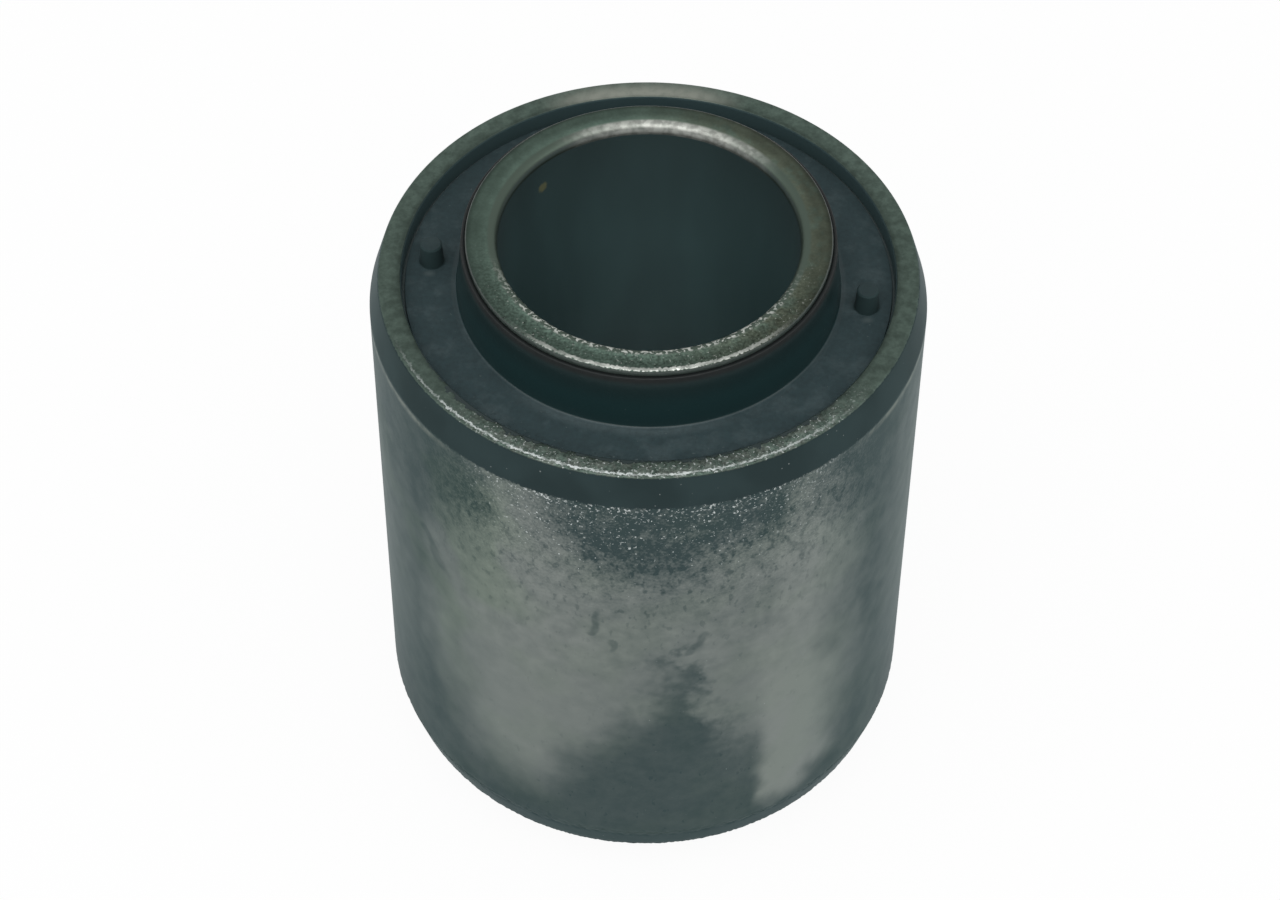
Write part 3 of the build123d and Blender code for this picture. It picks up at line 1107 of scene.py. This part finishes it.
class MakeRubberElement(bpy.types.Operator):
    """Make the rubber moulding with its collars, relief grooves and pegs"""

    bl_idname = "bush.make_rubber_element"
    bl_label = "Rubber Element"

    def execute(self, context):
        settings = context.scene.bush_rubber_element
        outer = context.scene.bush_outer_sleeve
        inner = context.scene.bush_inner_sleeve
        face = outer.half_length - settings.face_recess
        lip = node_top("rubber_element")
        foot_radius = inner.outer_radius + settings.collar_foot
        groove_radius = outer.inner_radius - settings.groove_width
        floor = face - settings.groove_depth
        corners = both_ends([
            Corner(inner.outer_radius, lip),
            Corner(inner.outer_radius + settings.collar_lip, lip, rounding=0.1 * MM, grain=0.5),
            Corner(foot_radius, face, settings.collar_root, grain=0.1, grain_after=0.05),
            Corner(groove_radius, face, rounding=0.08 * MM, grain=1.0, grain_after=0.5),
            Corner(groove_radius, floor, rounding=0.08 * MM, grain=0.3, grain_after=0.3),
            Corner(outer.inner_radius, floor),
        ])
        finish = rubber_finish(settings)
        pegs = {
            "Count": settings.peg_count,
            "Circle Radius": (foot_radius + outer.inner_radius) / 2,
            "First Angle": settings.peg_angle,
            "Spacing": settings.peg_spacing,
            "Face Height": face,
            "Foot Radius": settings.peg_foot_radius,
            "Top Radius": settings.peg_top_radius,
            "Peg Height": settings.peg_height,
            "Edge": settings.peg_edge,
            "Root Depth": PEG_ROOT_DEPTH,
            "Material": finish,
        }
        piece = turned_piece("rubber_moulding", corners, settings, inner.outer_radius, outer.inner_radius,
                             grains_per_mm=1.6, finish=finish, more_trees=[(peg_tree(), pegs)])
        stand_for(piece, "rubber_element")
        return {"FINISHED"}


class MakeInnerSleeve(bpy.types.Operator):
    """Make the inner steel sleeve with its bore"""

    bl_idname = "bush.make_inner_sleeve"
    bl_label = "Inner Sleeve"

    def execute(self, context):
        settings = context.scene.bush_inner_sleeve
        top = settings.half_length
        corners = both_ends([
            Corner(settings.bore_radius, top, settings.bore_edge, grain=0.5, grain_after=0.4),
            Corner(settings.outer_radius, top, settings.outer_edge, grain=1.0),
        ])
        piece = turned_piece("inner_sleeve_turned", corners, settings, settings.bore_radius,
                             settings.outer_radius, grains_per_mm=2.8,
                             finish=inner_sleeve_finish(settings))
        stand_for(piece, "inner_sleeve")
        return {"FINISHED"}


# ---- Stage -------------------------------------------------------------------

FLOOR_LIFT = 0.94       # share of plain white that the floor shows, which leaves its shadow faint
SOFTBOX_DISTANCE = 0.8
SENSOR_WIDTH_MM = 36.0


def floor_finish(settings):
    """Matt pale floor that shows white behind the object and keeps its soft shadow."""
    material = new_material("pale floor")
    graph = NodeGraph(material.node_tree)
    matt = graph.add("ShaderNodeBsdfDiffuse", {"Color": rgba(settings.floor_colour)}).outputs[0]
    glow = graph.add("ShaderNodeEmission", {"Color": (1.0, 1.0, 1.0, 1.0), "Strength": 1.0}).outputs[0]
    rays = graph.add("ShaderNodeLightPath").outputs
    seen = Value(graph, rays["Is Camera Ray"])
    for kind in ("Is Glossy Ray", "Is Transmission Ray"):
        seen = seen.at_least(rays[kind])
    lifted = graph.add("ShaderNodeMixShader", {0: seen * FLOOR_LIFT, 1: matt, 2: glow}).outputs[0]
    graph.add("ShaderNodeOutputMaterial", {"Surface": lifted})
    return material


def add_softbox(name, place, width, height, power):
    """A rectangular soft light that faces the object's middle."""
    lamp = bpy.data.lights.new(name, "AREA")
    lamp.shape = "RECTANGLE"
    lamp.size = width
    lamp.size_y = height
    lamp.energy = power
    made = bpy.data.objects.new(name, lamp)
    made.location = place
    made.rotation_euler = (-place).to_track_quat("-Z", "Y").to_euler()
    bpy.context.scene.collection.objects.link(made)


def around(bearing_degrees, elevation_degrees):
    """A softbox's place at this bearing from +X and this elevation, as seen from the origin."""
    bearing = math.radians(bearing_degrees)
    elevation = math.radians(elevation_degrees)
    level = SOFTBOX_DISTANCE * math.cos(elevation)
    height = SOFTBOX_DISTANCE * math.sin(elevation)
    return Vector((level * math.cos(bearing), level * math.sin(bearing), height))


class SetStage(bpy.types.Operator):
    """Add the floor, the soft lights, the surroundings and the camera"""

    bl_idname = "bush.set_stage"
    bl_label = "Stage"

    def execute(self, context):
        scene = context.scene
        settings = scene.bush_stage
        self.add_floor(settings)
        self.add_lights(settings)
        self.set_surroundings(scene, settings)
        self.add_camera(scene, settings)
        scene.view_settings.view_transform = "Standard"
        return {"FINISHED"}

    def add_floor(self, settings):
        """A square floor under the lower end of the inner sleeve."""
        half = settings.floor_size / 2
        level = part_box("inner_sleeve")[0][2]
        mesh = bpy.data.meshes.new("floor")
        corners = [(-half, -half, level), (half, -half, level), (half, half, level), (-half, half, level)]
        mesh.from_pydata(corners, [], [(0, 1, 2, 3)])
        mesh.materials.append(floor_finish(settings))
        floor = bpy.data.objects.new("floor", mesh)
        bpy.context.scene.collection.objects.link(floor)

    def add_lights(self, settings):
        """One softbox above the camera and a faint one on each side."""
        add_softbox("front softbox", around(-96, 55), 0.80, 0.70, settings.key_power)
        add_softbox("left softbox", around(-165, 30), 0.35, 0.45, settings.fill_power)
        add_softbox("right softbox", around(-20, 32), 0.30, 0.45, settings.fill_power)

    def set_surroundings(self, scene, settings):
        """Even pale light from all around."""
        world = bpy.data.worlds.new("surroundings")
        world.use_nodes = True
        background = world.node_tree.nodes["Background"]
        background.inputs["Color"].default_value = rgba(settings.sky_colour)
        background.inputs["Strength"].default_value = 1.0
        scene.world = world

    def add_camera(self, scene, settings):
        """The camera, in front of the object and above it."""
        data = bpy.data.cameras.new("camera")
        data.sensor_width = SENSOR_WIDTH_MM
        data.lens = settings.focal_length_mm
        data.clip_start = 0.01
        data.clip_end = 20.0
        camera = bpy.data.objects.new("camera", data)
        rim = scene.bush_outer_sleeve.half_length
        turn = Matrix.Rotation(-settings.camera_yaw, 4, "Z")
        tilt = Matrix.Rotation(math.pi / 2 - settings.camera_pitch, 4, "X")
        lean = Matrix.Rotation(settings.camera_roll, 4, "Z")
        place = Matrix.Translation((0.0, -settings.camera_back, rim + settings.camera_height))
        camera.matrix_world = place @ turn @ tilt @ lean
        scene.collection.objects.link(camera)
        scene.camera = camera


# ---- Panel and registration --------------------------------------------------

OPERATORS = (MakeOuterSleeve, MakeRubberElement, MakeInnerSleeve, SetStage)
SETTINGS = {
    "bush_outer_sleeve": OuterSleeveSettings,
    "bush_rubber_element": RubberElementSettings,
    "bush_inner_sleeve": InnerSleeveSettings,
    "bush_stage": StageSettings,
}


class BushPanel(bpy.types.Panel):
    """Buttons and settings for the bush"""

    bl_idname = "VIEW3D_PT_bush"
    bl_label = "Rubber Metal Bush"
    bl_space_type = "VIEW_3D"
    bl_region_type = "UI"
    bl_category = "Bush"

    def draw(self, context):
        for operator, (attribute, group) in zip(OPERATORS, SETTINGS.items()):
            box = self.layout.box()
            box.operator(operator.bl_idname)
            settings = getattr(context.scene, attribute)
            for name in group.__annotations__:
                box.prop(settings, name)


def register():
    """Register the settings, operators and panel."""
    for attribute, group in SETTINGS.items():
        bpy.utils.register_class(group)
        setattr(bpy.types.Scene, attribute, PointerProperty(type=group))
    for operator in OPERATORS:
        bpy.utils.register_class(operator)
    bpy.utils.register_class(BushPanel)


def unregister():
    """Take the panel, operators and settings away again."""
    bpy.utils.unregister_class(BushPanel)
    for operator in reversed(OPERATORS):
        bpy.utils.unregister_class(operator)
    for attribute, group in reversed(SETTINGS.items()):
        delattr(bpy.types.Scene, attribute)
        bpy.utils.unregister_class(group)


def main():
    register()
    bpy.ops.bush.make_outer_sleeve()
    bpy.ops.bush.make_rubber_element()
    bpy.ops.bush.make_inner_sleeve()
    bpy.ops.bush.set_stage()


if __name__ == "__main__":
    main()
